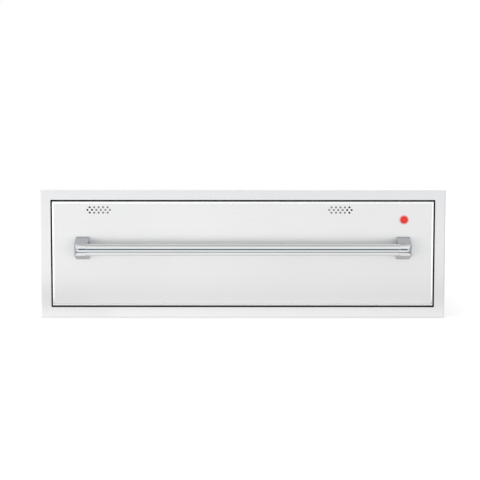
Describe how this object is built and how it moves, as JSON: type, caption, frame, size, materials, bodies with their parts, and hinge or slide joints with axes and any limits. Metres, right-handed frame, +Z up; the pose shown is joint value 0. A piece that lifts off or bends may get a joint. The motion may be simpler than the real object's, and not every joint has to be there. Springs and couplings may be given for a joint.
{
  "type": "warming drawer",
  "caption": "Heated, insulated drawer on telescopic slides in a sheet-metal casing behind a flat trim frame, with a bar handle, sliding vents, a pilot lamp and a thermostat knob inside.",
  "frame": {"origin": "on the standing surface, under the middle of the whole object's box", "axes": "+X to the right as seen from the front, +Y to the back, +Z up; the handle is on the -Y side"},
  "size_m": [0.762, 0.6, 0.2435],
  "materials": {
    "brushed_frame": "brushed along the long side",
    "brushed_front": "brushed along the long side",
    "galvanised": "galvanised sheet, satin",
    "liner_steel": "plain mill-finish stainless",
    "tub_steel": "satin stainless",
    "insulation": "mineral wool",
    "element_sheath": "dark heat-stained sheath",
    "ceramic": "glazed",
    "black_plastic": "fine texture",
    "pale_plastic": "moulded",
    "brass": "plain",
    "wire_red": "cable insulation",
    "wire_grey": "cable insulation",
    "lead_rubber": "matt",
    "rubber": "matt",
    "gasket_rubber": "matt",
    "zinc": "zinc plated",
    "slide_steel": "zinc plated, bright",
    "chrome": "polished",
    "screw_steel": "zinc plated",
    "red_lens": "translucent red lens",
    "shutter_steel": "plain",
    "knob_plastic": "satin black"
  },
  "bodies": {
    "casing": {"trim_frame": "brushed_frame", "frame_jamb": "brushed_frame", "landing_frame": "liner_steel", "casing_top_panel": "galvanised", "casing_left_panel": "galvanised", "casing_right_panel": "galvanised", "base_pan": "galvanised", "rear_panel": "galvanised", "casing_screws": "screw_steel", "casing_insulation": "insulation", "cavity_ceiling": "liner_steel", "cavity_floor": "liner_steel", "cavity_left_wall": "liner_steel", "cavity_right_wall": "liner_steel", "cavity_rear_wall": "liner_steel", "heating_element": "element_sheath", "element_clips": "zinc", "element_bushings": "ceramic", "terminal_block": "pale_plastic", "power_inlet": "black_plastic", "inlet_pins": "brass", "casing_wiring": "wire_red", "lead_grommet": "rubber", "rubber_feet": "rubber", "foot_screws": "screw_steel", "slide_outer_left": "slide_steel", "slide_outer_right": "slide_steel", "casing_slide_rivets": "zinc", "curly_lead": "lead_rubber"},
    "drawer": {"slide_inner_left": "slide_steel", "slide_inner_right": "slide_steel", "drawer_slide_rivets": "zinc", "front_skin": "brushed_front", "front_inner_panel": "liner_steel", "front_insulation": "insulation", "front_gasket": "gasket_rubber", "front_screws": "screw_steel", "handle_bar": "chrome", "handle_bracket_left": "chrome", "handle_bracket_right": "chrome", "handle_backing_plates": "zinc", "handle_screws": "screw_steel", "pilot_lamp_lens": "red_lens", "pilot_lamp_body": "pale_plastic", "vent_ducts": "zinc", "drawer_tub": "tub_steel", "channel_partition": "tub_steel", "channel_cover": "tub_steel", "thermostat": "pale_plastic", "drawer_wiring": "wire_grey"},
    "slide_middle_left": {"slide_middle_left": "slide_steel"},
    "slide_middle_right": {"slide_middle_right": "slide_steel"},
    "outer_ball_cages": {"outer_ball_cages": "zinc"},
    "inner_ball_cages": {"inner_ball_cages": "zinc"},
    "vent_shutter_left": {"vent_shutter_left": "shutter_steel", "shutter_knob_left": "knob_plastic"},
    "vent_shutter_right": {"vent_shutter_right": "shutter_steel", "shutter_knob_right": "knob_plastic"},
    "thermostat_knob": {"thermostat_knob": "knob_plastic", "thermostat_spindle": "zinc"}
  },
  "joints": [
    {"name": "drawer_slide", "type": "slide", "parent": "casing", "child": "drawer", "axis": [0, -1, 0], "range_m": [0, 0.4], "deforming": ["curly_lead"]},
    {"name": "slide_middle_left_travel", "type": "slide", "parent": "casing", "child": "slide_middle_left", "axis": [0, -1, 0], "range_m": [0, 0.2]},
    {"name": "slide_middle_right_travel", "type": "slide", "parent": "casing", "child": "slide_middle_right", "axis": [0, -1, 0], "range_m": [0, 0.2]},
    {"name": "outer_cage_travel", "type": "slide", "parent": "casing", "child": "outer_ball_cages", "axis": [0, -1, 0], "range_m": [0, 0.1]},
    {"name": "inner_cage_travel", "type": "slide", "parent": "casing", "child": "inner_ball_cages", "axis": [0, -1, 0], "range_m": [0, 0.3]},
    {"name": "left_vent_slide", "type": "slide", "parent": "drawer", "child": "vent_shutter_left", "axis": [1, 0, 0], "range_m": [-0.0135, 0.0339]},
    {"name": "right_vent_slide", "type": "slide", "parent": "drawer", "child": "vent_shutter_right", "axis": [-1, 0, 0], "range_m": [-0.0135, 0.0339]},
    {"name": "thermostat_turn", "type": "hinge", "parent": "drawer", "child": "thermostat_knob", "pos_m": [0.2888, -0.183, 0.1965], "axis": [0, 0, -1], "range_deg": [0, 270]}
  ],
  "couplings": [
    {"joint": "slide_middle_left_travel", "follows": "drawer_slide", "ratio": 0.5},
    {"joint": "slide_middle_right_travel", "follows": "drawer_slide", "ratio": 0.5},
    {"joint": "outer_cage_travel", "follows": "drawer_slide", "ratio": 0.25},
    {"joint": "inner_cage_travel", "follows": "drawer_slide", "ratio": 0.75}
  ]
}
